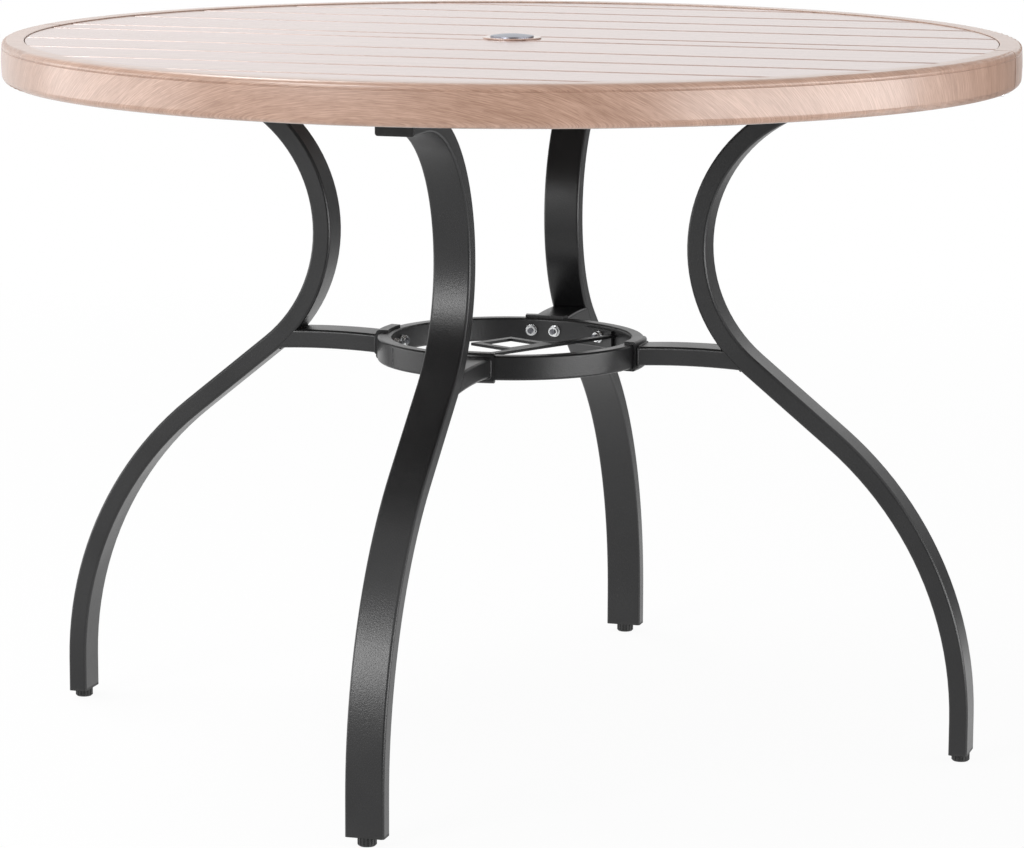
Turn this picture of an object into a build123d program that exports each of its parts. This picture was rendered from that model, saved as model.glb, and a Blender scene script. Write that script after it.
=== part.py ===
# Round slatted garden table on four bent tube legs that meet at a hub ring.
# Millimetres, +Z up, floor at z = 0, table axis on the Z axis.
# The slats run along X. The legs stand at 0, 90, 180 and 270 degrees from +X.
import os
from math import asin, cos, degrees, radians, sin, sqrt

from build123d import *

# Overall size
table_diameter = 1067.0
table_height = 745.0

# Rim: two bent half rings of a hollow section with a ledge inside
rim_height = 42.5
rim_width = 24.0
rim_wall = 1.5
rim_crown = 1.2
rim_top_corner = 5.0
rim_bottom_corner = 8.0
rim_inner_corner = 1.0
rim_groove_drop = 7.0
rim_groove_radius = 0.8
rim_ledge_width = 14.0
rim_ledge_thickness = 2.0
rim_seam_gap = 3.0

# Joiners: plugs inside the rim at its two seams, each held by two screws
joiner_angle = 6.5
joiner_clearance = 0.3
joiner_screw_angle = 1.7
joiner_screw_radius = 2.0
joiner_screw_length = 14.0
joiner_screw_head_radius = 3.8
joiner_screw_head_height = 2.6
joiner_hole_clearance = 0.25

# Slats: folded channels with lips turned in at the bottom
slat_drop = 1.2
slat_sheet = 1.0
slat_corner = 3.0
slat_lip = 10.0
slat_gap = 6.0
slat_end_gap = 1.0
centre_slat_width = 49.0
wide_slat_width = 118.5
edge_slat_depth = 53.5
side_slat_count = 3

# Rails: four tubes under the slats, one over each leg
rail_width = 40.0
rail_height = 25.0
rail_wall = 1.2
rail_corner = 3.0
rail_setback = 19.0
rail_drop = 2.0
rail_quarter = 89.5
rail_end_gap = 0.3

# Umbrella hole: flanged ring, lock ring below it and lift-out cap
pole_hole_radius = 20.0
ring_flange_radius = 31.0
ring_flange_height = 1.6
ring_flange_edge = 1.1
ring_sleeve_wall = 1.7
ring_sleeve_length = 27.0
ring_hole_clearance = 0.3
lock_ring_width = 6.5
lock_ring_height = 7.0
lock_ring_notch_radius = 2.0
lock_ring_notches = 8
cap_radius = 22.8
cap_rise = 3.2
cap_edge = 1.2
cap_skirt_length = 15.0
cap_skirt_wall = 1.6
cap_clearance = 0.4

# Leg: one rectangular tube bent twice, flat on top and upright at the foot
leg_width = 40.0
leg_depth = 20.0
leg_wall = 1.5
leg_corner = 3.0
leg_end_inset = 131.5
leg_top_run = 38.0
leg_upper_bend = 158.0
leg_slope = 39.2
leg_foot_run = 34.0
leg_foot_inset = 40.5
leg_access_radius = 6.5

# Plugs in the tube ends and screw-in levelling feet
plug_flange = 3.0
plug_edge = 1.0
plug_depth = 16.0
plug_clearance = 0.2
foot_flange = 2.5
foot_radius = 9.5
foot_height = 9.0
foot_edge = 1.5
foot_ribs = 16
foot_rib_radius = 0.7
foot_seat_gap = 0.2
foot_stud_radius = 4.0
foot_stud_length = 24.0
foot_stud_clearance = 0.3

# Hub ring: rectangular tube bent to a circle
hub_below_bend = 117.5
hub_radius = 142.0
hub_tube_height = 25.4
hub_tube_depth = 15.0
hub_tube_wall = 1.5
hub_corner = 2.5

# Saddles: folded plates over the ring, one per arm
saddle_plate = 3.0
saddle_angle = 18.5
saddle_reach = 10.0
saddle_gap = 0.2
saddle_bend = 3.5

# Arms: slightly arched tubes from saddle to leg
arm_width = 40.0
arm_height = 20.0
arm_bow = 2.0
arm_wall = 1.5
arm_corner = 3.0
weld_gap = 0.2

# Pole guide: flat bar across the hub ring with a square loop welded beside it
guide_angle = 61.0
guide_opening = 43.0
guide_loop_width = 8.5
guide_bar_width = 8.5
guide_bar_height = 3.0
guide_rise = 3.5
guide_tab_angle = 20.0
guide_tab_height = 17.0
guide_tab_plate = 3.0
guide_gap = 0.3

# Threaded hardware, one size for the hub and the leg tops
stud_radius = 3.0
stud_angle = 6.0
stud_end = 2.5
stud_clearance = 0.3
nut_size = 10.0
nut_height = 5.0
washer_radius = 6.2
washer_thickness = 1.2
washer_seat_gap = 0.3
stud_weld_gap = 0.1
bolt_head_height = 4.0
bolt_spacing = 18.0
bolt_end = 2.5

# Levels and radii that follow from the sizes above
rim_radius = table_diameter / 2
rim_inner_radius = rim_radius - rim_width
rim_bottom = table_height - rim_height
ledge_radius = rim_inner_radius - rim_ledge_width
rail_bottom = rim_bottom - rail_drop
slat_top = table_height - slat_drop
slat_bottom = rail_bottom + rail_height
slat_depth = slat_top - slat_bottom
slat_end_radius = rim_inner_radius - slat_end_gap
leg_end_radius = rim_radius - leg_end_inset
leg_bend_radius = leg_end_radius - leg_top_run
leg_foot_radius = rim_radius - leg_foot_inset
leg_top_line = rail_bottom - leg_depth / 2
leg_underside = rail_bottom - leg_depth
leg_bottom = foot_height + foot_seat_gap + foot_flange
rail_radius = leg_end_radius - rail_setback
hub_height = leg_top_line - leg_upper_bend - hub_below_bend
hub_inner_radius = hub_radius - hub_tube_depth
web_inner_radius = hub_radius + saddle_gap
web_outer_radius = web_inner_radius + saddle_plate
leg_angles = {"right": 0, "back": 90, "left": 180, "front": 270}
stud_angles = [turn + side for turn in leg_angles.values() for side in (-stud_angle, stud_angle)]

os.makedirs("parts", exist_ok=True)


def save(builder, name):
    """Label a finished piece and write its file."""
    builder.part.label = name
    export_step(builder.part, f"parts/{name}.step")


def save_around(builder, name):
    """Write four copies of a piece, one at each leg."""
    for side, turn in leg_angles.items():
        with BuildPart() as copy:
            add(builder.part, rotation=(0, 0, turn))
        save(copy, f"{name}_{side}")


def radial_plane(turn):
    """Upright plane through the table axis: x outward, y up."""
    across = (sin(radians(turn)), -cos(radians(turn)), 0)
    return Plane((0, 0, 0), x_dir=(cos(radians(turn)), sin(radians(turn)), 0), z_dir=across)


def facing_axis(turn, radius, height):
    """Plane at a radius and height whose normal points at the table axis."""
    out = Vector(cos(radians(turn)), sin(radians(turn)), 0)
    spot = out * radius + Vector(0, 0, height)
    return Plane(spot, x_dir=(0, 0, 1), z_dir=out * -1)


# Rim, front half: the hollow section turned half way round and cut back at the seams
crown_radius = rim_radius - rim_crown
groove_height = table_height - rim_groove_drop
groove_share = (rim_height / 2 - rim_groove_drop) / (rim_height / 2)
with BuildSketch(Plane.XZ) as rim_outline:
    with BuildLine():
        Line((rim_inner_radius, rim_bottom), (crown_radius, rim_bottom))
        ThreePointArc(
            (crown_radius, rim_bottom),
            (rim_radius, rim_bottom + rim_height / 2),
            (crown_radius, table_height),
        )
        Line((crown_radius, table_height), (rim_inner_radius, table_height))
        Line((rim_inner_radius, table_height), (rim_inner_radius, rim_bottom))
    make_face()
    fillet(rim_outline.vertices().group_by(Axis.X)[0], rim_inner_corner)
    fillet(rim_outline.vertices().sort_by_distance((crown_radius, table_height))[0], rim_top_corner)
    fillet(rim_outline.vertices().sort_by_distance((crown_radius, rim_bottom))[0], rim_bottom_corner)

with BuildPart() as rim_front:
    with BuildSketch(Plane.XZ) as rim_section:
        add(rim_outline.sketch_local)
        offset(rim_outline.sketch_local, amount=-rim_wall, mode=Mode.SUBTRACT)
        with Locations((rim_radius - rim_crown * groove_share**2, groove_height)):
            Circle(rim_groove_radius, mode=Mode.SUBTRACT)
        with Locations((ledge_radius, slat_bottom)):
            Rectangle(
                rim_ledge_width + rim_wall / 2,
                rim_ledge_thickness,
                align=(Align.MIN, Align.MAX),
            )
    revolve(axis=Axis.Z, revolution_arc=-180)
    split(bisect_by=Plane.XZ.offset(rim_seam_gap / 2), keep=Keep.TOP)
    for side in (-1, 1):
        turn = 270 + side * (90 - joiner_screw_angle)
        spot = radial_plane(turn).from_local_coords((rim_radius - rim_width / 2, rim_bottom))
        with Locations(spot):
            Cylinder(joiner_screw_radius + joiner_hole_clearance, 3 * rim_wall, mode=Mode.SUBTRACT)
save(rim_front, "rim_front_half")

# Rim, back half: the mirror image
with BuildPart() as rim_back:
    mirror(rim_front.part, about=Plane.XZ)
save(rim_back, "rim_back_half")

# Joiner plugs fill the hollow of the rim across each seam
for side, turn in (("left", 180), ("right", 0)):
    with BuildPart() as joiner:
        with BuildSketch(radial_plane(turn - joiner_angle / 2)):
            offset(rim_outline.sketch_local, amount=-rim_wall - joiner_clearance)
        revolve(axis=Axis.Z, revolution_arc=joiner_angle)
        for step in (-joiner_screw_angle, joiner_screw_angle):
            spot = radial_plane(turn + step).from_local_coords((rim_radius - rim_width / 2, rim_bottom))
            with Locations(spot):
                Cylinder(
                    joiner_screw_radius + joiner_hole_clearance,
                    joiner_screw_length + rim_wall,
                    align=(Align.CENTER, Align.CENTER, Align.MIN),
                    mode=Mode.SUBTRACT,
                )
    save(joiner, f"rim_joiner_{side}")

# Screws under the rim, two at each seam
with BuildPart() as joiner_screws:
    for turn in (0, 180):
        for step in (-joiner_screw_angle, joiner_screw_angle):
            spot = radial_plane(turn + step).from_local_coords((rim_radius - rim_width / 2, rim_bottom))
            with BuildSketch(Plane(spot)):
                Circle(joiner_screw_head_radius)
            extrude(amount=-joiner_screw_head_height)
            with BuildSketch(Plane(spot)):
                Circle(joiner_screw_radius)
            extrude(amount=joiner_screw_length)
    chamfer(
        joiner_screws.edges().filter_by(GeomType.CIRCLE).group_by(Axis.Z)[0],
        joiner_screw_head_height / 2,
    )
save(joiner_screws, "rim_joiner_screws")

# Slats: the side slats share the width that the others leave. Edges are worked outward from the
# centre slat, and the slats are then named from front to back.
side_space = slat_end_radius - edge_slat_depth - centre_slat_width / 2 - wide_slat_width
side_slat_width = (side_space - (side_slat_count + 2) * slat_gap) / side_slat_count
slat_spans = [(-centre_slat_width / 2, centre_slat_width / 2)]
edge = centre_slat_width / 2
for width in [wide_slat_width] + [side_slat_width] * side_slat_count + [edge_slat_depth + rim_width]:
    edge += slat_gap
    slat_spans.append((edge, edge + width))
    slat_spans.append((-edge - width, -edge))
    edge += width
slat_spans.sort()

for number, (low, high) in enumerate(slat_spans, start=1):
    with BuildPart() as slat:
        with BuildSketch(Plane.YZ.offset(-rim_radius)) as slat_section:
            with Locations(((low + high) / 2, slat_bottom)):
                Rectangle(high - low, slat_depth, align=(Align.CENTER, Align.MIN))
            fillet(slat_section.vertices().group_by(Axis.Y)[-1], slat_corner)
            offset(amount=-slat_sheet, mode=Mode.SUBTRACT)
            with Locations(((low + high) / 2, slat_bottom)):
                Rectangle(high - low - 2 * slat_lip, 3 * slat_sheet, mode=Mode.SUBTRACT)
        extrude(amount=2 * rim_radius)
        with Locations((0, 0, slat_bottom)):
            Cylinder(
                slat_end_radius,
                2 * slat_depth,
                mode=Mode.INTERSECT,
            )
        if low < 0 < high:
            with Locations((0, 0, slat_bottom)):
                Cylinder(
                    pole_hole_radius + ring_sleeve_wall + ring_hole_clearance,
                    4 * slat_depth,
                    mode=Mode.SUBTRACT,
                )
    save(slat, f"slat_{number:02d}")

# Rails: tubes cut to the curve of the rim and notched under its ledge, each in its own quarter
with BuildPart() as rail:
    with BuildSketch(Plane.XZ.offset(-rim_radius)) as rail_section:
        with Locations((rail_radius, rail_bottom + rail_height / 2)):
            RectangleRounded(rail_width, rail_height, rail_corner)
            RectangleRounded(
                rail_width - 2 * rail_wall,
                rail_height - 2 * rail_wall,
                rail_corner - rail_wall,
                mode=Mode.SUBTRACT,
            )
    extrude(amount=2 * rim_radius)
    with BuildSketch(radial_plane(-rail_quarter / 2)):
        with BuildLine():
            Polyline(
                (0, rail_bottom),
                (rim_inner_radius - rail_end_gap, rail_bottom),
                (rim_inner_radius - rail_end_gap, slat_bottom - rim_ledge_thickness - rail_end_gap),
                (ledge_radius - rail_end_gap, slat_bottom - rim_ledge_thickness - rail_end_gap),
                (ledge_radius - rail_end_gap, slat_bottom),
                (0, slat_bottom),
                close=True,
            )
        make_face()
    revolve(axis=Axis.Z, revolution_arc=rail_quarter, mode=Mode.INTERSECT)
    with Locations(
        (rail_radius, -bolt_spacing / 2, rail_bottom),
        (rail_radius, bolt_spacing / 2, rail_bottom),
    ):
        Cylinder(stud_radius + stud_clearance, 3 * rail_wall, mode=Mode.SUBTRACT)
save_around(rail, "rail")

# Umbrella ring: flange on the slats and a sleeve down through the centre slat
sleeve_radius = pole_hole_radius + ring_sleeve_wall
flange_top = slat_top + ring_flange_height
with BuildPart() as umbrella_ring:
    with BuildSketch(Plane.XZ) as ring_section:
        with Locations((pole_hole_radius, slat_top)):
            Rectangle(
                ring_flange_radius - pole_hole_radius,
                ring_flange_height,
                align=(Align.MIN, Align.MIN),
            )
            Rectangle(ring_sleeve_wall, ring_sleeve_length, align=(Align.MIN, Align.MAX))
        fillet(
            ring_section.vertices().group_by(Axis.Y)[-1].sort_by(Axis.X)[-1],
            ring_flange_edge,
        )
    revolve(axis=Axis.Z)
save(umbrella_ring, "umbrella_ring")

# Lock ring: notched nut on the sleeve, drawn up against the slat's lips
with BuildPart() as lock_ring:
    with BuildSketch(Plane.XY.offset(slat_bottom)):
        Circle(sleeve_radius + ring_hole_clearance + lock_ring_width)
        Circle(sleeve_radius + ring_hole_clearance, mode=Mode.SUBTRACT)
        with PolarLocations(sleeve_radius + ring_hole_clearance + lock_ring_width, lock_ring_notches):
            Circle(lock_ring_notch_radius, mode=Mode.SUBTRACT)
    extrude(amount=-lock_ring_height)
save(lock_ring, "umbrella_lock_ring")

# Umbrella cap: shallow dome with a hollow skirt inside the ring
skirt_radius = pole_hole_radius - cap_clearance
with BuildPart() as umbrella_cap:
    with BuildSketch(Plane.XZ):
        with BuildLine():
            Polyline(
                (0, flange_top + cap_rise),
                (0, flange_top + cap_edge - cap_skirt_wall),
                (skirt_radius - cap_skirt_wall, flange_top + cap_edge - cap_skirt_wall),
                (skirt_radius - cap_skirt_wall, flange_top - cap_skirt_length),
                (skirt_radius, flange_top - cap_skirt_length),
                (skirt_radius, flange_top),
                (cap_radius, flange_top),
                (cap_radius, flange_top + cap_edge),
            )
            TangentArc(
                (0, flange_top + cap_rise),
                (cap_radius, flange_top + cap_edge),
                tangent=(1, 0),
            )
        make_face()
    revolve(axis=Axis.Z)
save(umbrella_cap, "umbrella_cap")

# Leg path in the XZ plane, from the flat top end inward, round and down to the foot.
# The sloped run and the lower bend take up the reach and the height that the upper bend leaves.
slope_turn = 180 - leg_slope
fall_turn = 90 - leg_slope
slope_fall = sin(radians(leg_slope))
slope_reach = cos(radians(leg_slope))
reach_left = leg_foot_radius - leg_bend_radius + leg_upper_bend * slope_fall
height_left = leg_top_line - leg_upper_bend * (1 + slope_reach) - leg_bottom - leg_foot_run
slope_length = (reach_left * slope_reach - height_left * (1 - slope_fall)) / (1 - slope_fall)
leg_lower_bend = (height_left * slope_reach - reach_left * slope_fall) / (1 - slope_fall)
with BuildLine(Plane.XZ) as leg_path:
    top_run = Line((leg_end_radius, leg_top_line), (leg_bend_radius, leg_top_line))
    upper = JernArc(top_run @ 1, top_run % 1, leg_upper_bend, slope_turn)
    slope_run = PolarLine(upper @ 1, slope_length, direction=upper % 1)
    lower = JernArc(slope_run @ 1, slope_run % 1, leg_lower_bend, -fall_turn)
    Line(lower @ 1, (leg_foot_radius, leg_bottom))
leg_start = Plane((leg_end_radius, 0, leg_top_line), x_dir=(0, 1, 0), z_dir=(-1, 0, 0))

# Leg tube, with holes for the two bolts that hold it to its rail. The bolt heads sit inside the
# tube and go in through wider holes in its underside.
with BuildPart() as leg:
    with BuildSketch(leg_start):
        RectangleRounded(leg_width, leg_depth, leg_corner)
        RectangleRounded(
            leg_width - 2 * leg_wall,
            leg_depth - 2 * leg_wall,
            leg_corner - leg_wall,
            mode=Mode.SUBTRACT,
        )
    sweep(path=leg_path.line)
    for level, radius in (
        (rail_bottom, stud_radius + stud_clearance),
        (leg_underside, leg_access_radius),
    ):
        with Locations(
            (rail_radius, -bolt_spacing / 2, level),
            (rail_radius, bolt_spacing / 2, level),
        ):
            Cylinder(radius, leg_depth, mode=Mode.SUBTRACT)
save_around(leg, "leg")

# Solid form of the leg with its weld gap, used only to cope the arm
with BuildPart() as leg_form:
    with BuildSketch(leg_start):
        RectangleRounded(leg_width + 2 * weld_gap, leg_depth + 2 * weld_gap, leg_corner + weld_gap)
    sweep(path=leg_path.line)

# Plug in the flat top end of a leg
with BuildPart() as top_plug:
    with BuildSketch(leg_start):
        RectangleRounded(leg_width, leg_depth, leg_corner)
    extrude(amount=-plug_flange)
    fillet(top_plug.edges().group_by(Axis.X)[-1], plug_edge)
    with BuildSketch(leg_start):
        RectangleRounded(
            leg_width - 2 * leg_wall - 2 * plug_clearance,
            leg_depth - 2 * leg_wall - 2 * plug_clearance,
            leg_corner - leg_wall,
        )
    extrude(amount=plug_depth / 2)
save_around(top_plug, "top_plug")

# Plug in the foot of a leg, bored for the levelling foot's stud
foot_plane = Plane((leg_foot_radius, 0, leg_bottom), x_dir=(0, 1, 0), z_dir=(0, 0, 1))
with BuildPart() as foot_plug:
    with BuildSketch(foot_plane):
        RectangleRounded(leg_width, leg_depth, leg_corner)
    extrude(amount=-foot_flange)
    with BuildSketch(foot_plane):
        RectangleRounded(
            leg_width - 2 * leg_wall - 2 * plug_clearance,
            leg_depth - 2 * leg_wall - 2 * plug_clearance,
            leg_corner - leg_wall,
        )
    extrude(amount=plug_depth)
    with Locations((leg_foot_radius, 0, leg_bottom)):
        Cylinder(foot_stud_radius + foot_stud_clearance, 4 * plug_depth, mode=Mode.SUBTRACT)
save_around(foot_plug, "foot_plug")

# Levelling foot: ribbed round pad on a stud
with BuildPart() as foot:
    with Locations((leg_foot_radius, 0, 0)):
        Cylinder(foot_radius, foot_height, align=(Align.CENTER, Align.CENTER, Align.MIN))
    chamfer(foot.edges().filter_by(GeomType.CIRCLE).group_by(Axis.Z)[0], foot_edge)
    with Locations((leg_foot_radius, 0, 0)):
        with PolarLocations(foot_radius, foot_ribs):
            Cylinder(foot_rib_radius, 4 * foot_height, mode=Mode.SUBTRACT)
    with Locations((leg_foot_radius, 0, foot_height)):
        Cylinder(foot_stud_radius, foot_stud_length, align=(Align.CENTER, Align.CENTER, Align.MIN))
save_around(foot, "levelling_foot")

# Hub ring: hollow section turned full circle, drilled for the saddles' studs
guide_offset = guide_opening / 2 + guide_loop_width + guide_bar_width / 2
guide_end_radius = hub_inner_radius - guide_gap
guide_swing = degrees(asin(guide_offset / guide_end_radius))
guide_ends = (guide_angle - guide_swing, guide_angle + guide_swing + 180)
guide_stud_turns = (guide_ends[0] + guide_tab_angle / 2, guide_ends[1] - guide_tab_angle / 2)
with BuildPart() as hub_ring:
    with BuildSketch(Plane.XZ):
        with Locations((hub_radius - hub_tube_depth / 2, hub_height)):
            RectangleRounded(hub_tube_depth, hub_tube_height, hub_corner)
            RectangleRounded(
                hub_tube_depth - 2 * hub_tube_wall,
                hub_tube_height - 2 * hub_tube_wall,
                hub_corner - hub_tube_wall,
                mode=Mode.SUBTRACT,
            )
    revolve(axis=Axis.Z)
    for turn in stud_angles:
        with Locations(Location((0, 0, hub_height), (0, 0, turn))):
            Cylinder(
                stud_radius + stud_clearance,
                2 * hub_radius,
                rotation=(0, 90, 0),
                align=(Align.CENTER, Align.CENTER, Align.MIN),
                mode=Mode.SUBTRACT,
            )
save(hub_ring, "hub_ring")

# Saddle: plate folded over the ring from outside, with two lips that grip it
with BuildPart() as saddle:
    with BuildSketch(radial_plane(-saddle_angle / 2)) as saddle_section:
        with Locations((web_outer_radius, hub_height)):
            Rectangle(
                saddle_plate + saddle_gap + saddle_reach,
                hub_tube_height + 2 * saddle_plate,
                align=(Align.MAX, Align.CENTER),
            )
        fillet(saddle_section.vertices().group_by(Axis.X)[-1], saddle_bend)
        with Locations((web_inner_radius, hub_height)):
            Rectangle(
                2 * saddle_reach,
                hub_tube_height,
                align=(Align.MAX, Align.CENTER),
                mode=Mode.SUBTRACT,
            )
    revolve(axis=Axis.Z, revolution_arc=saddle_angle)
save_around(saddle, "saddle")

# Arm: tube arched a little upward from the saddle to the leg, coped to both
arm_end = leg_bend_radius - sqrt(leg_upper_bend**2 - hub_below_bend**2)
arm_middle = (hub_radius + arm_end) / 2
with BuildPart() as arm:
    with BuildLine():
        arm_path = ThreePointArc(
            (hub_radius, 0, hub_height),
            (arm_middle, 0, hub_height + arm_bow),
            (arm_end, 0, hub_height),
        )
    with BuildSketch(Plane(arm_path @ 0, x_dir=(0, 1, 0), z_dir=arm_path % 0)):
        RectangleRounded(arm_width, arm_height, arm_corner)
        RectangleRounded(
            arm_width - 2 * arm_wall,
            arm_height - 2 * arm_wall,
            arm_corner - arm_wall,
            mode=Mode.SUBTRACT,
        )
    sweep(path=arm_path)
    with Locations((0, 0, hub_height)):
        Cylinder(web_outer_radius, 2 * arm_height, mode=Mode.SUBTRACT)
    add(leg_form.part, mode=Mode.SUBTRACT)
save_around(arm, "arm")

# Pole guide bar: flat bar across the ring with a tab along the wall at each end
guide_level = hub_height + guide_rise
guide_plane = Plane((0, 0, guide_level), x_dir=(cos(radians(guide_angle)), sin(radians(guide_angle)), 0))
with BuildPart() as guide_bar:
    with BuildSketch(guide_plane):
        with Locations((0, -guide_offset)):
            Rectangle(2 * hub_radius, guide_bar_width)
    extrude(amount=guide_bar_height / 2, both=True)
    with Locations((0, 0, guide_level)):
        Cylinder(guide_end_radius, 2 * guide_bar_height, mode=Mode.INTERSECT)
    for turn in guide_stud_turns:
        with BuildSketch(radial_plane(turn - guide_tab_angle / 2)):
            with Locations((guide_end_radius, hub_height)):
                Rectangle(guide_tab_plate, guide_tab_height, align=(Align.MAX, Align.CENTER))
        revolve(axis=Axis.Z, revolution_arc=guide_tab_angle)
        with Locations(Location((0, 0, hub_height), (0, 0, turn))):
            Cylinder(
                stud_radius + stud_clearance,
                hub_radius,
                rotation=(0, 90, 0),
                align=(Align.CENTER, Align.CENTER, Align.MIN),
                mode=Mode.SUBTRACT,
            )
save(guide_bar, "pole_guide_bar")

# Pole guide loop: a square of the same bar, welded to it along one side
loop_size = guide_opening + 2 * guide_loop_width
with BuildPart() as guide_loop:
    with BuildSketch(guide_plane):
        Rectangle(loop_size, loop_size)
        Rectangle(guide_opening, guide_opening, mode=Mode.SUBTRACT)
    extrude(amount=guide_bar_height / 2, both=True)
save(guide_loop, "pole_guide_loop")

# Studs: welded to the saddle webs and pushed inward through the ring
stud_start = web_inner_radius - stud_weld_gap
nut_seat = hub_inner_radius - washer_seat_gap - washer_thickness
tab_seat = guide_end_radius - guide_tab_plate - washer_seat_gap - washer_thickness
with BuildPart() as hub_studs:
    for turn in stud_angles:
        with BuildSketch(facing_axis(turn, stud_start, hub_height)):
            Circle(stud_radius)
        extrude(amount=stud_start - nut_seat + nut_height + stud_end)
save(hub_studs, "hub_studs")

# Guide studs: welded to the ring's inner wall and pushed inward through the guide's tabs
guide_stud_start = hub_inner_radius - stud_weld_gap
with BuildPart() as guide_studs:
    for turn in guide_stud_turns:
        with BuildSketch(facing_axis(turn, guide_stud_start, hub_height)):
            Circle(stud_radius)
        extrude(amount=guide_stud_start - tab_seat + nut_height + stud_end)
save(guide_studs, "guide_studs")

# Nuts and washers inside the ring
nut_places = [(turn, nut_seat) for turn in stud_angles] + [(turn, tab_seat) for turn in guide_stud_turns]
with BuildPart() as hub_nuts:
    for turn, seat in nut_places:
        with BuildSketch(facing_axis(turn, seat, hub_height)):
            RegularPolygon(nut_size / 2, 6, major_radius=False)
            Circle(stud_radius, mode=Mode.SUBTRACT)
        extrude(amount=nut_height)
save(hub_nuts, "hub_nuts")

with BuildPart() as hub_washers:
    for turn, seat in nut_places:
        with BuildSketch(facing_axis(turn, seat, hub_height)):
            Circle(washer_radius)
            Circle(stud_radius, mode=Mode.SUBTRACT)
        extrude(amount=-washer_thickness)
save(hub_washers, "hub_washers")

# Bolts, washers and nuts that hold the leg tops to the rails, heads inside the leg tubes
bolt_spots = []
for turn in leg_angles.values():
    for side in (-bolt_spacing / 2, bolt_spacing / 2):
        bolt_spots.append(Vector(rail_radius, side, 0).rotate(Axis.Z, turn))
washer_seat = rail_bottom - leg_wall
head_seat = washer_seat - washer_thickness
rail_nut_seat = rail_bottom + rail_wall
with BuildPart() as leg_bolts:
    for spot in bolt_spots:
        with BuildSketch(Plane(spot + Vector(0, 0, head_seat))):
            RegularPolygon(nut_size / 2, 6, major_radius=False)
        extrude(amount=-bolt_head_height)
        with BuildSketch(Plane(spot + Vector(0, 0, head_seat))):
            Circle(stud_radius)
        extrude(amount=rail_nut_seat + nut_height + bolt_end - head_seat)
save(leg_bolts, "leg_bolts")

with BuildPart() as leg_washers:
    for spot in bolt_spots:
        with BuildSketch(Plane(spot + Vector(0, 0, washer_seat))):
            Circle(washer_radius)
            Circle(stud_radius, mode=Mode.SUBTRACT)
        extrude(amount=-washer_thickness)
save(leg_washers, "leg_washers")

with BuildPart() as rail_nuts:
    for spot in bolt_spots:
        with BuildSketch(Plane(spot + Vector(0, 0, rail_nut_seat))):
            RegularPolygon(nut_size / 2, 6, major_radius=False)
            Circle(stud_radius, mode=Mode.SUBTRACT)
        extrude(amount=nut_height)
save(rail_nuts, "rail_nuts")
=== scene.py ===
from math import cos, radians, sin

import bpy
from mathutils import Matrix, Vector


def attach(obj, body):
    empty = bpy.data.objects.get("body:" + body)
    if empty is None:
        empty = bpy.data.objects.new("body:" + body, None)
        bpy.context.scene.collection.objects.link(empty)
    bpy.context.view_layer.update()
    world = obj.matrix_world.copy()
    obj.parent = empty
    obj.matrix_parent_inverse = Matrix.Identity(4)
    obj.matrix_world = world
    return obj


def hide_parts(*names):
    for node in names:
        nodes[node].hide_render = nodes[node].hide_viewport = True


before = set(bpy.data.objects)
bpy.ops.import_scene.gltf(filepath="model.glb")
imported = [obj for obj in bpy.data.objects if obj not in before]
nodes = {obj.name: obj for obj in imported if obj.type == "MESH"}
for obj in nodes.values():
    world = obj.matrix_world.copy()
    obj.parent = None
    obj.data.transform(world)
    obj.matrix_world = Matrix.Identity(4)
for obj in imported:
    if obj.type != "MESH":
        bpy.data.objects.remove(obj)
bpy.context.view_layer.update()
bpy.ops.object.select_all(action="DESELECT")


# Base frame: four bent steel tubes, their arms, the hub ring with its saddles and pole guide, and
# the rails under the top. Welded in sub-assemblies, blasted and powder coated charcoal, which
# cures to a satin skin with a fine sandy grain.
COAT_GRAIN = 0.0015
COAT_DRIFT = 0.09
# Sides in quarter turns, anticlockwise from the right.
SIDES = ("right", "back", "left", "front")


def linear(hex_colour):
    """sRGB hex to linear RGBA."""
    parts = [int(hex_colour[i:i + 2], 16) / 255 for i in (1, 3, 5)]
    return tuple(c / 12.92 if c <= 0.04045 else ((c + 0.055) / 1.055) ** 2.4 for c in parts) + (1.0,)


def add_node(tree, kind, settings=None, links=None):
    """Add one shader node, set its values and link its inputs. Ramp stops are (place, hex) pairs."""
    node = tree.nodes.new(kind)
    for name, value in (settings or {}).items():
        if name == "stops":
            elements = node.color_ramp.elements
            while len(elements) < len(value):
                elements.new(1.0)
            for element, (position, colour) in zip(elements, value):
                element.position = position
                element.color = linear(colour)
        elif isinstance(name, int) or name in node.inputs:
            node.inputs[name].default_value = value
        else:
            setattr(node, name, value)
    for name, source in (links or {}).items():
        tree.links.new(source, node.inputs[name])
    return node


def new_material(name):
    """Empty material with its Principled shader wired to the output."""
    material = bpy.data.materials.new(name)
    material.use_nodes = True
    tree = material.node_tree
    tree.nodes.clear()
    shader = add_node(tree, "ShaderNodeBsdfPrincipled")
    add_node(tree, "ShaderNodeOutputMaterial", links={"Surface": shader.outputs["BSDF"]})
    return material, tree, shader


def lay_finish(tree, shader, tone, sheen, skin):
    """Lead a finish's colour, gloss and grain into the material's shader."""
    tree.links.new(tone, shader.inputs["Base Color"])
    tree.links.new(sheen, shader.inputs["Roughness"])
    tree.links.new(skin, shader.inputs["Normal"])


def dress(names, material):
    """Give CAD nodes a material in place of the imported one."""
    for name in names:
        nodes[name].data.materials.clear()
        nodes[name].data.materials.append(material)


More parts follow.
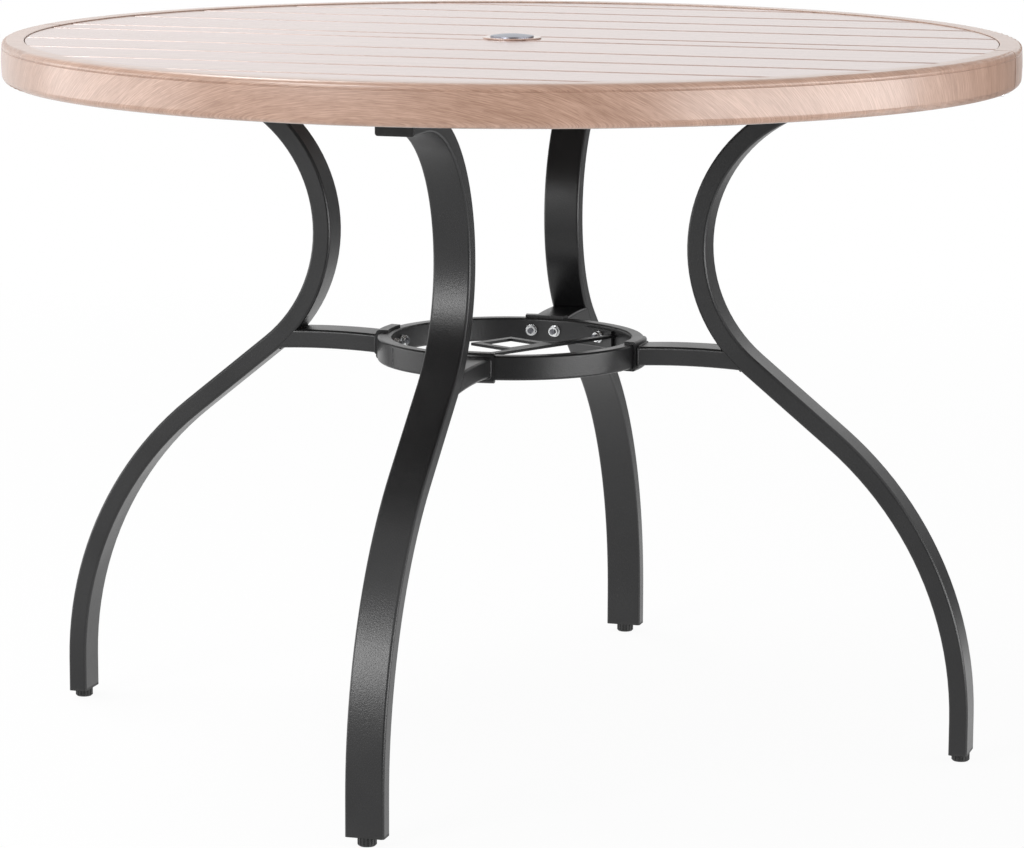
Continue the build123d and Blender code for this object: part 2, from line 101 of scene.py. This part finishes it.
# Polyester powder coat. Its grain is drawn coarser than life, at 1.5 mm, so that it shows, and a
# slow drift in tone keeps the long tubes from looking flat.
powder, tree, shader = new_material("charcoal_powder_coat")
place = add_node(tree, "ShaderNodeTexCoord")
grain = add_node(tree, "ShaderNodeTexNoise", {"Scale": 1 / COAT_GRAIN, "Detail": 2.0, "Roughness": 0.6},
                 {"Vector": place.outputs["Object"]})
drift = add_node(tree, "ShaderNodeTexNoise", {"Scale": 1 / COAT_DRIFT, "Detail": 3.0},
                 {"Vector": place.outputs["Object"]})
tone = add_node(tree, "ShaderNodeValToRGB", {"stops": ((0.3, "#141415"), (0.7, "#1d1d1e"))},
                {"Fac": drift.outputs["Fac"]})
sheen = add_node(tree, "ShaderNodeMapRange",
                 {"From Min": 0.3, "From Max": 0.7, "To Min": 0.28, "To Max": 0.38},
                 {"Value": drift.outputs["Fac"]})
skin = add_node(tree, "ShaderNodeBump", {"Strength": 0.4, "Distance": 0.0003},
                {"Height": grain.outputs["Fac"]})
lay_finish(tree, shader, tone.outputs["Color"], sheen.outputs["Result"], skin.outputs["Normal"])
dress([f"{kind}_{side}" for kind in ("leg", "arm", "saddle", "rail") for side in SIDES], powder)
dress(["hub_ring", "pole_guide_bar", "pole_guide_loop"], powder)


# Weld beads: a fillet of weld metal right round each arm where it meets its saddle, and one above
# and one below the arm where it meets the leg. Laid by hand, which leaves ripples about 1.6 mm
# apart, and powder coated with the frame.
ARM_WIDTH = 0.040
ARM_HEIGHT = 0.020
ARM_CORNER = 0.003
BEAD_RADIUS = 0.0016
BEAD_END = 0.7
WELD_RIPPLE = 0.0016
HUB_LEVEL = 0.415
SADDLE_FACE = 0.1449
LEG_TOUCH = (("above", 0.2350, 0.4248), ("below", 0.2545, 0.4052))


def turn_mesh(axis, angle):
    """Turn the mesh about an axis through the origin; the operator itself turns clockwise."""
    bpy.ops.transform.rotate(value=-radians(angle), orient_axis=axis, center_override=(0.0, 0.0, 0.0))


def place_copy(pattern, name, turns, shift, bearing):
    """Copy a piece with its own mesh, turn it, move it out and carry it round the table."""
    piece = pattern.copy()
    piece.data = pattern.data.copy()
    piece.name = name
    bpy.context.collection.objects.link(piece)
    bpy.ops.object.select_all(action="DESELECT")
    piece.select_set(True)
    bpy.context.view_layer.objects.active = piece
    bpy.ops.object.mode_set(mode="EDIT")
    bpy.ops.mesh.select_all(action="SELECT")
    for axis, angle in turns:
        turn_mesh(axis, angle)
    bpy.ops.transform.translate(value=shift)
    turn_mesh("Z", bearing)
    bpy.ops.object.mode_set(mode="OBJECT")
    return piece


def finish_bead(coat):
    """Turn the active bead's faces outwards, smooth it and coat it."""
    bead = bpy.context.active_object
    bpy.ops.object.mode_set(mode="EDIT")
    bpy.ops.mesh.select_all(action="SELECT")
    bpy.ops.mesh.normals_make_consistent(inside=False)
    bpy.ops.object.mode_set(mode="OBJECT")
    bpy.ops.object.shade_smooth()
    bead.data.materials.append(coat)
    return bead


def add_rod(radius, length, coat):
    """Straight bead with round ends, standing upright at the origin."""
    bpy.ops.mesh.primitive_cylinder_add(vertices=16, radius=radius, depth=length)
    bpy.ops.object.mode_set(mode="EDIT")
    bpy.ops.mesh.select_all(action="SELECT")
    bpy.ops.mesh.bevel(affect="EDGES", offset=radius * BEAD_END, segments=3)
    bpy.ops.object.mode_set(mode="OBJECT")
    return finish_bead(coat)


def lay_bead(pattern, name, turns, shift, bearing):
    """Lay a copy of a bead on the frame."""
    bead = place_copy(pattern, name, turns, shift, bearing)
    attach(bead, "table")


bead_coat, tree, shader = new_material("coated_weld_bead")
place = add_node(tree, "ShaderNodeTexCoord")
ripple = add_node(tree, "ShaderNodeTexNoise",
                  {"Scale": 1 / WELD_RIPPLE, "Detail": 2.0, "Distortion": 0.6},
                  {"Vector": place.outputs["Object"]})
tone = add_node(tree, "ShaderNodeValToRGB", {"stops": ((0.3, "#121213"), (0.7, "#1b1b1c"))},
                {"Fac": ripple.outputs["Fac"]})
sheen = add_node(tree, "ShaderNodeMapRange", {"To Min": 0.30, "To Max": 0.48},
                 {"Value": ripple.outputs["Fac"]})
skin = add_node(tree, "ShaderNodeBump", {"Strength": 0.6, "Distance": 0.0006},
                {"Height": ripple.outputs["Fac"]})
lay_finish(tree, shader, tone.outputs["Color"], sheen.outputs["Result"], skin.outputs["Normal"])

bpy.ops.mesh.primitive_plane_add(size=1.0, location=(0.0, 0.0, 0.0))
bpy.ops.object.mode_set(mode="EDIT")
bpy.ops.mesh.select_all(action="SELECT")
bpy.ops.transform.resize(value=(ARM_HEIGHT, ARM_WIDTH, 1.0))
bpy.ops.mesh.bevel(affect="VERTICES", offset=ARM_CORNER, segments=4)
bpy.ops.mesh.delete(type="ONLY_FACE")
bpy.ops.object.mode_set(mode="OBJECT")
bpy.ops.object.convert(target="CURVE")
bpy.context.active_object.data.bevel_depth = BEAD_RADIUS
bpy.context.active_object.data.bevel_resolution = 3
bpy.ops.object.convert(target="MESH")
saddle_bead = finish_bead(bead_coat)
leg_bead = add_rod(BEAD_RADIUS, ARM_WIDTH - 2 * ARM_CORNER, bead_coat)
for quarter, side in enumerate(SIDES):
    bearing = 90.0 * quarter
    lay_bead(saddle_bead, f"saddle_weld_{side}", [("Y", 90.0)], (SADDLE_FACE, 0.0, HUB_LEVEL), bearing)
    for edge, reach, level in LEG_TOUCH:
        lay_bead(leg_bead, f"leg_weld_{edge}_{side}", [("X", 90.0)], (reach, 0.0, level), bearing)
bpy.data.objects.remove(saddle_bead)
bpy.data.objects.remove(leg_bead)


# Ring seam: the upright ridge where the ends of the hub ring's steel tube were butted, welded and
# ground down. Its colour is a painted highlight, much paler than the frame's coat.
RING_RADIUS = 0.142
SEAM_TURN = 225.5
SEAM_HEIGHT = 0.0205
SEAM_RADIUS = 0.0008
SEAM_SINK = 0.0005
SEAM_HIGHLIGHT_MOTTLE = 0.003

seam_highlight_coat, tree, shader = new_material("ground_seam_painted_highlight")
place = add_node(tree, "ShaderNodeTexCoord")
highlight_mottle = add_node(tree, "ShaderNodeTexNoise", {"Scale": 1 / SEAM_HIGHLIGHT_MOTTLE, "Detail": 3.0},
                {"Vector": place.outputs["Object"]})
# Painted highlight: the seam is coloured a mottled pale grey, far paler than the charcoal coat.
tone = add_node(tree, "ShaderNodeValToRGB", {"stops": ((0.3, "#5a5a5c"), (0.7, "#8c8c8e"))},
                {"Fac": highlight_mottle.outputs["Fac"]})
sheen = add_node(tree, "ShaderNodeMapRange", {"To Min": 0.30, "To Max": 0.48},
                 {"Value": highlight_mottle.outputs["Fac"]})
skin = add_node(tree, "ShaderNodeBump", {"Strength": 0.3, "Distance": 0.0003},
                {"Height": highlight_mottle.outputs["Fac"]})
lay_finish(tree, shader, tone.outputs["Color"], sheen.outputs["Result"], skin.outputs["Normal"])

seam_bead = add_rod(SEAM_RADIUS, SEAM_HEIGHT, seam_highlight_coat)
lay_bead(seam_bead, "ring_seam", [], (RING_RADIUS - SEAM_SINK, 0.0, HUB_LEVEL), SEAM_TURN)
bpy.data.objects.remove(seam_bead)


# End plugs and levelling feet: black polyethylene, injection moulded, pressed or screwed into the
# tube ends. The joiner plugs inside the rim and the lock ring under the slats are the same plastic.
# Its moulded grain is drawn coarser than life, and scuffs make it paler in places.
MOULD_GRAIN = 0.0012
MOULD_SCUFF = 0.015

moulded, tree, shader = new_material("black_moulded_polyethylene")
place = add_node(tree, "ShaderNodeTexCoord")
grain = add_node(tree, "ShaderNodeTexNoise", {"Scale": 1 / MOULD_GRAIN, "Detail": 2.0},
                 {"Vector": place.outputs["Object"]})
scuff = add_node(tree, "ShaderNodeTexNoise", {"Scale": 1 / MOULD_SCUFF, "Detail": 4.0},
                 {"Vector": place.outputs["Object"]})
tone = add_node(tree, "ShaderNodeValToRGB", {"stops": ((0.35, "#131313"), (0.75, "#222222"))},
                {"Fac": scuff.outputs["Fac"]})
sheen = add_node(tree, "ShaderNodeMapRange", {"To Min": 0.42, "To Max": 0.6},
                 {"Value": scuff.outputs["Fac"]})
skin = add_node(tree, "ShaderNodeBump", {"Strength": 0.2, "Distance": 0.0002},
                {"Height": grain.outputs["Fac"]})
lay_finish(tree, shader, tone.outputs["Color"], sheen.outputs["Result"], skin.outputs["Normal"])
for kind in ("top_plug", "foot_plug", "levelling_foot"):
    dress([f"{kind}_{side}" for side in SIDES], moulded)
dress(["rim_joiner_left", "rim_joiner_right", "umbrella_lock_ring"], moulded)


# Nuts, washers, bolts and screws: mild steel, cold headed, bright zinc plated and tumbled. The plate
# has a cloudy bloom and tumbling marks, which are drawn coarser than life.
PLATE_BLOOM = 0.004
TUMBLE_MARK = 0.0006

zinc, tree, shader = new_material("bright_zinc_plate")
place = add_node(tree, "ShaderNodeTexCoord")
bloom = add_node(tree, "ShaderNodeTexNoise", {"Scale": 1 / PLATE_BLOOM, "Detail": 3.0},
                 {"Vector": place.outputs["Object"]})
marks = add_node(tree, "ShaderNodeTexNoise", {"Scale": 1 / TUMBLE_MARK, "Detail": 2.0},
                 {"Vector": place.outputs["Object"]})
tone = add_node(tree, "ShaderNodeValToRGB", {"stops": ((0.3, "#d2d4d6"), (0.7, "#f0f1f1"))},
                {"Fac": bloom.outputs["Fac"]})
sheen = add_node(tree, "ShaderNodeMapRange", {"To Min": 0.18, "To Max": 0.34},
                 {"Value": bloom.outputs["Fac"]})
skin = add_node(tree, "ShaderNodeBump", {"Strength": 0.1, "Distance": 0.0001},
                {"Height": marks.outputs["Fac"]})
lay_finish(tree, shader, tone.outputs["Color"], sheen.outputs["Result"], skin.outputs["Normal"])
shader.inputs["Metallic"].default_value = 1.0
dress(["hub_nuts", "hub_washers", "leg_bolts", "leg_washers", "rail_nuts", "rim_joiner_screws"], zinc)


# Weld studs: the same plated steel, welded to the saddles and to the inner wall of the hub ring.
# They are coloured a mottled grey, darker than the nuts.
STUD_MOTTLE = 0.003

dull_zinc, tree, shader = new_material("dark_grey_stud_zinc")
place = add_node(tree, "ShaderNodeTexCoord")
stud_mottle = add_node(tree, "ShaderNodeTexNoise", {"Scale": 1 / STUD_MOTTLE, "Detail": 3.0},
                 {"Vector": place.outputs["Object"]})
tone = add_node(tree, "ShaderNodeValToRGB", {"stops": ((0.3, "#55565a"), (0.7, "#808186"))},
                {"Fac": stud_mottle.outputs["Fac"]})
sheen = add_node(tree, "ShaderNodeMapRange", {"To Min": 0.35, "To Max": 0.55},
                 {"Value": stud_mottle.outputs["Fac"]})
skin = add_node(tree, "ShaderNodeBump", {"Strength": 0.2, "Distance": 0.0001},
                {"Height": stud_mottle.outputs["Fac"]})
lay_finish(tree, shader, tone.outputs["Color"], sheen.outputs["Result"], skin.outputs["Normal"])
shader.inputs["Metallic"].default_value = 1.0
dress(["hub_studs", "guide_studs"], dull_zinc)


# Hub nuts: hexagons of bright zinc plated steel, cold formed with both faces chamfered and run up
# the studs inside the ring. A sphere takes the corners off one blank, which is bored and copied.
NUT_CORNER = 0.00577
NUT_HEIGHT = 0.005
NUT_CROWN = 0.00572
NUT_BORE = 0.0031
NUT_CREASE = 22.0
NUT_SPIN = 17.0
NUT_SEAT = 0.1255
STUD_STEP = 6.0
GUIDE_NUT_SEAT = 0.1222
GUIDE_STUD_TURNS = (55.3, 246.7)
NUT_PLACES = [(90.0 * quarter + step, NUT_SEAT)
              for quarter in range(4) for step in (-STUD_STEP, STUD_STEP)]
NUT_PLACES += [(turn, GUIDE_NUT_SEAT) for turn in GUIDE_STUD_TURNS]

bpy.ops.mesh.primitive_cylinder_add(vertices=6, radius=NUT_CORNER, depth=NUT_HEIGHT)
blank = bpy.context.active_object
bpy.ops.mesh.primitive_uv_sphere_add(segments=48, ring_count=24, radius=NUT_CROWN)
crown = bpy.context.active_object
bpy.ops.mesh.primitive_cylinder_add(vertices=32, radius=NUT_BORE, depth=3 * NUT_HEIGHT)
bore = bpy.context.active_object
bpy.ops.object.select_all(action="DESELECT")
blank.select_set(True)
bpy.context.view_layer.objects.active = blank
for cutter, operation in ((crown, "INTERSECT"), (bore, "DIFFERENCE")):
    cut = blank.modifiers.new(operation.lower(), "BOOLEAN")
    cut.operation = operation
    cut.solver = "EXACT"
    cut.object = cutter
    bpy.ops.object.modifier_apply(modifier=cut.name)
    bpy.data.objects.remove(cutter)
bpy.ops.object.shade_smooth_by_angle(angle=radians(NUT_CREASE))
blank.data.materials.append(zinc)
for number, (bearing, seat) in enumerate(NUT_PLACES, start=1):
    nut = place_copy(blank, f"hub_nut_{number:02d}", [("Z", NUT_SPIN * number), ("Y", 90.0)],
                     (seat - NUT_HEIGHT / 2, 0.0, HUB_LEVEL), bearing)
    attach(nut, "table")
    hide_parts("hub_nuts")
bpy.data.objects.remove(blank)


# Rim and slats: formed sheet metal with a printed wood film fused on, then clear coated. The film
# is laid flat with its grain along the slats and wrapped down over the rim, so the grain runs
# level at the front and back of the rim and upright at its sides.
RIM_TOP = 0.745
SLAT_COUNT = 11
RIM_TONES = ("#977460", "#a88571", "#b99682")
SLAT_TONES = ("#97766a", "#a8877b", "#b9988c")
PORE_TONE = "#8e6b58"
UNDERSIDE = "#6e6965"
RIM_HAZE = 0.26
SLAT_HAZE = 0.17
FILM_TURN = radians(-1.5)
PRINT_STEP = (0.37, 0.113)
SWAY_LENGTH = 1 / 6
SWAY_DEPTH = 0.014
BAND_SHARE = 0.28
# The figure's parts with their length, width, detail and fineness. Fibres and pores are drawn
# about 1 mm wide, coarser than life, so that they show.
FIGURE = (("fibre", 0.03, 0.0011, 2.0, 0.6),
          ("band", 0.9, 0.016, 2.0, 0.5),
          ("pore", 0.014, 0.0010, 1.0, 0.5))


def film_material(name, shift, tones, haze):
    """Printed wood film over base coat; shift moves the print so that no two slats share it."""
    material, tree, shader = new_material(name)
    place = add_node(tree, "ShaderNodeTexCoord")
    parts = add_node(tree, "ShaderNodeSeparateXYZ", links={"Vector": place.outputs["Object"]})
    plan = add_node(tree, "ShaderNodeVectorMath", {"operation": "MULTIPLY", 1: (1, 1, 0)},
                    {0: place.outputs["Object"]})
    reach = add_node(tree, "ShaderNodeVectorMath", {"operation": "LENGTH"}, {0: plan.outputs["Vector"]})
    drop = add_node(tree, "ShaderNodeMath", {"operation": "SUBTRACT", 0: RIM_TOP},
                    {1: parts.outputs["Z"]})
    share = add_node(tree, "ShaderNodeMath", {"operation": "DIVIDE"},
                     {0: drop.outputs["Value"], 1: reach.outputs["Value"]})
    spread = add_node(tree, "ShaderNodeMath", {"operation": "ADD", 1: 1.0}, {0: share.outputs["Value"]})
    film = add_node(tree, "ShaderNodeVectorMath", {"operation": "SCALE"},
                    {0: plan.outputs["Vector"], "Scale": spread.outputs["Value"]})
    laid = add_node(tree, "ShaderNodeMapping", {"Location": shift, "Rotation": (0, 0, FILM_TURN)},
                    {"Vector": film.outputs["Vector"]})
    sway = add_node(tree, "ShaderNodeTexNoise", {"Scale": 1 / SWAY_LENGTH, "Detail": 2.0},
                    {"Vector": laid.outputs["Vector"]})
    bend = add_node(tree, "ShaderNodeVectorMath", {"operation": "MULTIPLY_ADD", 1: (0, SWAY_DEPTH, 0)},
                    {0: sway.outputs["Color"], 2: laid.outputs["Vector"]})
    figure = {}
    for part, length, width, detail, fineness in FIGURE:
        stretch = add_node(tree, "ShaderNodeVectorMath",
                           {"operation": "MULTIPLY", 1: (1 / length, 1 / width, 0)},
                           {0: bend.outputs["Vector"]})
        noise = add_node(tree, "ShaderNodeTexNoise",
                         {"Scale": 1.0, "Detail": detail, "Roughness": fineness},
                         {"Vector": stretch.outputs["Vector"]})
        figure[part] = noise.outputs["Fac"]
    ground = add_node(tree, "ShaderNodeMath", {"operation": "MULTIPLY", 1: BAND_SHARE},
                      {0: figure["band"]})
    mixed = add_node(tree, "ShaderNodeMath", {"operation": "MULTIPLY_ADD", 1: 1 - BAND_SHARE},
                     {0: figure["fibre"], 2: ground.outputs["Value"]})
    tone = add_node(tree, "ShaderNodeValToRGB", {"stops": tuple(zip((0.36, 0.5, 0.64), tones))},
                    {"Fac": mixed.outputs["Value"]})
    fleck = add_node(tree, "ShaderNodeMapRange", {"From Min": 0.56, "From Max": 0.68, "To Max": 0.6},
                     {"Value": figure["pore"]})
    print_colour = add_node(tree, "ShaderNodeMix", {"data_type": "RGBA", 7: linear(PORE_TONE)},
                            {0: fleck.outputs["Result"], 6: tone.outputs["Color"]})
    facing = add_node(tree, "ShaderNodeNewGeometry")
    slope = add_node(tree, "ShaderNodeSeparateXYZ", links={"Vector": facing.outputs["Normal"]})
    below = add_node(tree, "ShaderNodeMapRange", {"From Min": -0.9, "From Max": -0.97},
                     {"Value": slope.outputs["Z"]})
    colour = add_node(tree, "ShaderNodeMix", {"data_type": "RGBA", 7: linear(UNDERSIDE)},
                      {0: below.outputs["Result"], 6: print_colour.outputs[2]})
    sheen = add_node(tree, "ShaderNodeMapRange", {"To Min": 0.40, "To Max": 0.55},
                     {"Value": figure["fibre"]})
    skin = add_node(tree, "ShaderNodeBump", {"Strength": 0.05, "Distance": 0.0002},
                    {"Height": figure["fibre"]})
    lay_finish(tree, shader, colour.outputs[2], sheen.outputs["Result"], skin.outputs["Normal"])
    shader.inputs["Coat Weight"].default_value = 1.0
    shader.inputs["Coat Roughness"].default_value = haze
    return material


rim_film = film_material("printed_wood_film_rim", (0.0, 0.0, 0.0), RIM_TONES, RIM_HAZE)
dress(["rim_front_half", "rim_back_half"], rim_film)
for number in range(1, SLAT_COUNT + 1):
    shift = (PRINT_STEP[0] * number, PRINT_STEP[1] * number, 0.0)
    slat_film = film_material(f"printed_wood_film_slat_{number:02d}", shift, SLAT_TONES, SLAT_HAZE)
    dress([f"slat_{number:02d}"], slat_film)


# Umbrella ring: a tan polypropylene moulding, glossy from its mould, that lines the hole in the
# centre slat and is held from below by the lock ring.
RING_MOTTLE = 0.006

ring_plastic, tree, shader = new_material("tan_moulded_polypropylene")
place = add_node(tree, "ShaderNodeTexCoord")
mottle = add_node(tree, "ShaderNodeTexNoise", {"Scale": 1 / RING_MOTTLE, "Detail": 3.0},
                  {"Vector": place.outputs["Object"]})
tone = add_node(tree, "ShaderNodeValToRGB", {"stops": ((0.3, "#a88473"), (0.7, "#bd9a89"))},
                {"Fac": mottle.outputs["Fac"]})
sheen = add_node(tree, "ShaderNodeMapRange", {"To Min": 0.30, "To Max": 0.42},
                 {"Value": mottle.outputs["Fac"]})
skin = add_node(tree, "ShaderNodeBump", {"Strength": 0.1, "Distance": 0.0002},
                {"Height": mottle.outputs["Fac"]})
lay_finish(tree, shader, tone.outputs["Color"], sheen.outputs["Result"], skin.outputs["Normal"])
shader.inputs["Coat Weight"].default_value = 1.0
shader.inputs["Coat Roughness"].default_value = 0.1
dress(["umbrella_ring"], ring_plastic)


# Umbrella cap: spun aluminium dome, satin anodised, that drops into the ring. The lathe leaves
# rings around its middle, which are drawn coarser than life.
LATHE_RING = 0.0006

cap_metal, tree, shader = new_material("satin_anodised_aluminium")
place = add_node(tree, "ShaderNodeTexCoord")
plan = add_node(tree, "ShaderNodeVectorMath", {"operation": "MULTIPLY", 1: (1, 1, 0)},
                {0: place.outputs["Object"]})
reach = add_node(tree, "ShaderNodeVectorMath", {"operation": "LENGTH"}, {0: plan.outputs["Vector"]})
rings = add_node(tree, "ShaderNodeTexNoise",
                 {"noise_dimensions": "1D", "Scale": 1 / LATHE_RING, "Detail": 2.0},
                 {"W": reach.outputs["Value"]})
tone = add_node(tree, "ShaderNodeValToRGB", {"stops": ((0.3, "#7d808a"), (0.7, "#a1a4af"))},
                {"Fac": rings.outputs["Fac"]})
sheen = add_node(tree, "ShaderNodeMapRange", {"To Min": 0.26, "To Max": 0.38},
                 {"Value": rings.outputs["Fac"]})
skin = add_node(tree, "ShaderNodeBump", {"Strength": 0.1, "Distance": 0.0001},
                {"Height": rings.outputs["Fac"]})
lay_finish(tree, shader, tone.outputs["Color"], sheen.outputs["Result"], skin.outputs["Normal"])
shader.inputs["Metallic"].default_value = 1.0
dress(["umbrella_cap"], cap_metal)


# Studio floor: a wide pale sweep. It is as white as the backdrop to the camera and in reflections,
# and keeps the table's soft shadow. Two black flags, one round the camera and one behind on the
# right, stand on it and show only in reflections.
FLOOR_SIZE = 40.0
PAPER_TOOTH = 0.0025
SHADOW_FADE = (1.5, 3.5)
WHITE_SHARE = 0.94
FLAG_START = (1.0, 1.8)
FLAG_DEPTH = 0.85
FLAGS = ((290.0, 28.0, 14.0), (62.0, 26.0, 12.0))


def flag_cover(tree, bearing):
    """How far the flags cover a bearing: each has a middle, a soft outer edge and a full inner one."""
    covers = []
    for middle, outer, inner in FLAGS:
        towards = (cos(radians(middle)), sin(radians(middle)), 0.0)
        facing = add_node(tree, "ShaderNodeVectorMath", {"operation": "DOT_PRODUCT", 1: towards},
                          {0: bearing})
        covers.append(add_node(tree, "ShaderNodeMapRange",
                               {"From Min": cos(radians(outer)), "From Max": cos(radians(inner)),
                                "To Max": FLAG_DEPTH}, {"Value": facing.outputs["Value"]}))
    return add_node(tree, "ShaderNodeMath", {"operation": "MAXIMUM"},
                    {0: covers[0].outputs["Result"], 1: covers[1].outputs["Result"]})


bpy.ops.mesh.primitive_plane_add(size=FLOOR_SIZE, location=(0.0, 0.0, 0.0))
floor = bpy.context.active_object
floor.name = "studio_floor"
paper, tree, shader = new_material("white_paper_sweep")
place = add_node(tree, "ShaderNodeTexCoord")
tooth = add_node(tree, "ShaderNodeTexNoise", {"Scale": 1 / PAPER_TOOTH},
                 {"Vector": place.outputs["Object"]})
tone = add_node(tree, "ShaderNodeValToRGB", {"stops": ((0.3, "#f0f0f0"), (0.7, "#f6f6f6"))},
                {"Fac": tooth.outputs["Fac"]})
skin = add_node(tree, "ShaderNodeBump", {"Strength": 0.05, "Distance": 0.0002},
                {"Height": tooth.outputs["Fac"]})
tree.links.new(tone.outputs["Color"], shader.inputs["Base Color"])
tree.links.new(skin.outputs["Normal"], shader.inputs["Normal"])
shader.inputs["Roughness"].default_value = 0.9
shader.inputs["Specular IOR Level"].default_value = 0.1
path = add_node(tree, "ShaderNodeLightPath")
seen = add_node(tree, "ShaderNodeMath", {"operation": "MAXIMUM"},
                {0: path.outputs["Is Camera Ray"], 1: path.outputs["Is Glossy Ray"]})
clear = add_node(tree, "ShaderNodeMath", {"operation": "MAXIMUM"},
                 {0: seen.outputs["Value"], 1: path.outputs["Is Transmission Ray"]})
reach = add_node(tree, "ShaderNodeVectorMath", {"operation": "LENGTH"}, {0: place.outputs["Object"]})
share = add_node(tree, "ShaderNodeMapRange",
                 {"From Min": SHADOW_FADE[0], "From Max": SHADOW_FADE[1],
                  "To Min": WHITE_SHARE, "To Max": 1.0}, {"Value": reach.outputs["Value"]})
part = add_node(tree, "ShaderNodeMath", {"operation": "MULTIPLY"},
                {0: clear.outputs["Value"], 1: share.outputs["Result"]})
bearing = add_node(tree, "ShaderNodeVectorMath", {"operation": "NORMALIZE"},
                   {0: place.outputs["Object"]})
cover = flag_cover(tree, bearing.outputs["Vector"])
far = add_node(tree, "ShaderNodeMapRange", {"From Min": FLAG_START[0], "From Max": FLAG_START[1]},
               {"Value": reach.outputs["Value"]})
shade = add_node(tree, "ShaderNodeMath", {"operation": "MULTIPLY"},
                 {0: cover.outputs["Value"], 1: far.outputs["Result"]})
hidden = add_node(tree, "ShaderNodeMath", {"operation": "MULTIPLY"},
                  {0: shade.outputs["Value"], 1: path.outputs["Is Glossy Ray"]})
level = add_node(tree, "ShaderNodeMath", {"operation": "SUBTRACT", 0: 1.0}, {1: hidden.outputs["Value"]})
glow = add_node(tree, "ShaderNodeEmission", {"Color": linear("#ffffff")},
                {"Strength": level.outputs["Value"]})
blend = add_node(tree, "ShaderNodeMixShader", links={0: part.outputs["Value"], 1: shader.outputs["BSDF"],
                                                     2: glow.outputs["Emission"]})
output = next(node for node in tree.nodes if node.type == "OUTPUT_MATERIAL")
tree.links.new(blend.outputs["Shader"], output.inputs["Surface"])
floor.data.materials.append(paper)


# Studio room: the backdrop all round is white to the camera and in reflections, with the same two
# flags in front of it, and gives a dimmer even light to everything else.
ROOM_LIGHT = 0.5

world = bpy.data.worlds.new("white_studio")
bpy.context.scene.world = world
world.use_nodes = True
tree = world.node_tree
tree.nodes.clear()
path = add_node(tree, "ShaderNodeLightPath")
place = add_node(tree, "ShaderNodeTexCoord")
cover = flag_cover(tree, place.outputs["Generated"])
room = add_node(tree, "ShaderNodeMath", {"operation": "SUBTRACT", 0: 1.0}, {1: cover.outputs["Value"]})
mirrored = add_node(tree, "ShaderNodeMath", {"operation": "MAXIMUM"},
                    {0: path.outputs["Is Glossy Ray"], 1: path.outputs["Is Transmission Ray"]})
around = add_node(tree, "ShaderNodeMix", {"data_type": "FLOAT", 2: ROOM_LIGHT},
                  {0: mirrored.outputs["Value"], 3: room.outputs["Value"]})
level = add_node(tree, "ShaderNodeMix", {"data_type": "FLOAT", 3: 1.0},
                 {0: path.outputs["Is Camera Ray"], 2: around.outputs[0]})
backdrop = add_node(tree, "ShaderNodeBackground", {"Color": linear("#ffffff")},
                    {"Strength": level.outputs[0]})
add_node(tree, "ShaderNodeOutputWorld", links={"Surface": backdrop.outputs["Background"]})


# Studio light: two low wide softboxes at the sides, one high on the left and a small one at the
# front left. The low ones reach only a little above the top, so that from most heights the top
# mirrors the plain room behind them.
LAMP_AIM = Vector((0.0, 0.0, 0.6))

for name, turn, distance, height, width, tall, power in (
    ("softbox_left", 194.0, 3.2, 0.46, 2.8, 0.88, 20.0),
    ("softbox_right", 348.0, 3.2, 0.46, 3.6, 0.88, 58.0),
    ("softbox_high", 170.0, 1.6, 3.3, 2.6, 0.7, 54.0),
    ("softbox_front", 246.0, 3.4, 1.6, 1.4, 1.0, 46.0),
):
    lamp = bpy.data.lights.new(name, "AREA")
    lamp.shape = "RECTANGLE"
    lamp.size = width
    lamp.size_y = tall
    lamp.energy = power
    box = bpy.data.objects.new(name, lamp)
    bpy.context.scene.collection.objects.link(box)
    box.location = (distance * cos(radians(turn)), distance * sin(radians(turn)), height)
    box.rotation_euler = (LAMP_AIM - box.location).to_track_quat("-Z", "Y").to_euler()


# Camera: a long lens a little above the top, at the photograph's angle, and the plain view
# transform.
CAMERA_PLACE = Vector((1.2286, -4.2288, 1.1045))
CAMERA_TURN = radians(16.01)
CAMERA_PITCH = radians(9.95)
CAMERA_ROLL = radians(0.25)
LENS_LENGTH = 147.2
LENS_SHIFT = (-0.0120, 0.0003)
SENSOR_WIDTH = 36.0

ahead = Vector((-sin(CAMERA_TURN) * cos(CAMERA_PITCH), cos(CAMERA_TURN) * cos(CAMERA_PITCH),
                -sin(CAMERA_PITCH)))
across = Vector((cos(CAMERA_TURN), sin(CAMERA_TURN), 0.0))
upward = across.cross(ahead)
rolled_across = across * cos(CAMERA_ROLL) + upward * sin(CAMERA_ROLL)
rolled_upward = upward * cos(CAMERA_ROLL) - across * sin(CAMERA_ROLL)
lens = bpy.data.cameras.new("photo_camera")
lens.sensor_fit = "HORIZONTAL"
lens.sensor_width = SENSOR_WIDTH
lens.lens = LENS_LENGTH
lens.shift_x, lens.shift_y = LENS_SHIFT
camera = bpy.data.objects.new("photo_camera", lens)
bpy.context.scene.collection.objects.link(camera)
camera.matrix_world = Matrix.Translation(CAMERA_PLACE) @ Matrix(
    (rolled_across, rolled_upward, -ahead)).transposed().to_4x4()
bpy.context.scene.camera = camera
bpy.context.scene.view_settings.view_transform = "Standard"
